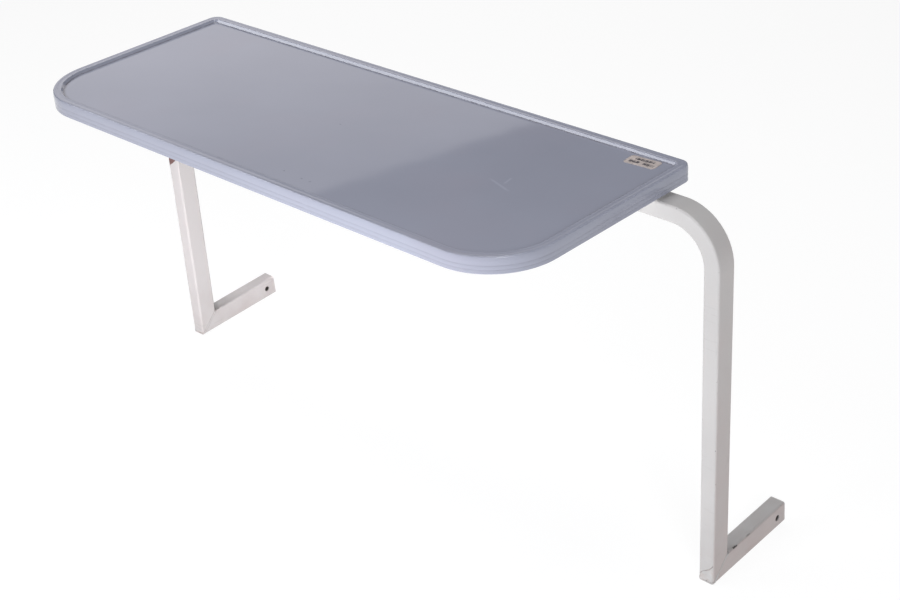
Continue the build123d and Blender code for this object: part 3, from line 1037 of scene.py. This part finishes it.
def add_paper():
    """A hanging paper with a glow that fades upward. Only reflections and light show it."""
    skin = Finish("paper", roughness=0.9)
    skin.shader.inputs["Specular IOR Level"].default_value = 0.0
    glow = skin.spread(skin.axis(skin.place, 2), *PAPER_FADE, *PAPER_GLOW)
    skin.feed(skin.shader.inputs["Emission Color"], WARM)
    skin.feed(skin.shader.inputs["Emission Strength"], glow)
    material = skin.finish(BLACK)
    data = bpy.data.meshes.new("paper")
    corners = []
    for x, y, top in (PAPER_LEFT, PAPER_RIGHT):
        corners += [(x, y, PAPER_FOOT), (x, y, top)]
    data.from_pydata(corners, [], [(0, 2, 3, 1)])
    data.materials.append(material)
    paper = bpy.data.objects.new("paper", data)
    paper.visible_camera = False
    scene.collection.objects.link(paper)


COOL = (0.965, 0.985, 1.03)
ROSY = (1.0, 0.866, 0.906)
WORLD_GLOW = 0.85


def add_light():
    """A top light, softboxes up in front, and small ones for the front edge and the left foot."""
    tray = (0.0, -0.2, 0.45)
    left_leg = (-leg_x, -0.12, 0.15)
    add_softbox("top", (0.0, -0.2, 2.4), tray, (1.6, 1.0), 24.0)
    add_softbox("front_right", (2.0, -1.5, 1.4), (0.4, -0.2, 0.4), (0.8, 0.8), 27.0, COOL)
    add_softbox("front_left", (-1.35, -1.4, 1.6), tray, (1.5, 0.6), 17.0, COOL)
    wall = (-0.05, -0.4, 0.42)
    left_heel = (-leg_x, -0.01, 0.03)
    add_softbox("fill", (0.25, -0.9, 0.15), wall, (0.3, 0.3), 4.8, COOL, mirrored=False)
    add_softbox("left_side", (0.05, -0.75, 0.1), left_leg, (0.2, 0.2), 0.56, ROSY, 70.0, False)
    add_softbox("left_end", (-0.1, 0.15, 0.6), left_heel, (0.1, 0.1), 0.02, ROSY, 16.0, False)
    add_softbox("glint", (1.5, -1.6, 0.45), (0.3, -0.3, 0.5), (0.4, 0.4), 0.5)
    world = bpy.data.worlds.new("studio")
    world.use_nodes = True
    backdrop = world.node_tree.nodes["Background"]
    backdrop.inputs["Color"].default_value = WHITE
    backdrop.inputs["Strength"].default_value = WORLD_GLOW
    scene.world = world
    world.cycles_visibility.diffuse = False
    world.cycles_visibility.glossy = False
    scene.view_settings.view_transform = "Standard"


# --- Put it together --------------------------------------------------------------------
add_camera()

# Bare metals: base colour, roughness, tarnish colour and how much of it.
SLEEVE_STEEL = ((0.30, 0.285, 0.27), 0.42, (0.12, 0.05, 0.03, 1.0), 0.8)
SCREW_STEEL = ((0.58, 0.58, 0.56), 0.3, (0.32, 0.31, 0.29, 1.0), 0.5)
INSERT_BRASS = ((0.62, 0.45, 0.20), 0.3, (0.22, 0.14, 0.07, 1.0), 0.5)

finishes = {
    "frame_paint": painted_steel("frame_paint", 1),
    "foot_paint": painted_steel("foot_paint", 0),
    "bearer_paint": painted_steel("bearer_paint", None),
    "weld_paint": weld_metal(),
    "board": fibreboard(),
    "laminate": backing_laminate(),
    "sleeve_steel": plain_metal("sleeve_steel", *SLEEVE_STEEL),
    "screw_steel": plain_metal("screw_steel", *SCREW_STEEL),
    "insert_metal": plain_metal("insert_metal", *INSERT_BRASS),
    "plug_plastic": plug_nylon(),
}

kept_nodes = {
    "frame_tube": "frame_paint",
    "left_foot_tube": "foot_paint",
    "right_foot_tube": "foot_paint",
    "left_bearer": "bearer_paint",
    "right_bearer": "bearer_paint",
    "left_foot_plug": "plug_plastic",
    "right_foot_plug": "plug_plastic",
    "left_pivot_sleeve": "sleeve_steel",
    "right_pivot_sleeve": "sleeve_steel",
    "core_board": "board",
    "backing_sheet": "laminate",
    "mounting_screws": "screw_steel",
    "washers": "screw_steel",
    "threaded_inserts": "insert_metal",
}
for node, finish_name in kept_nodes.items():
    for slot in nodes[node].material_slots:
        slot.material = finishes[finish_name]

add_tray_shell()
add_label()
add_foot_weld("left", -1)
add_foot_weld("right", 1)
add_bearer_welds()
add_floor()
add_paper()
add_light()
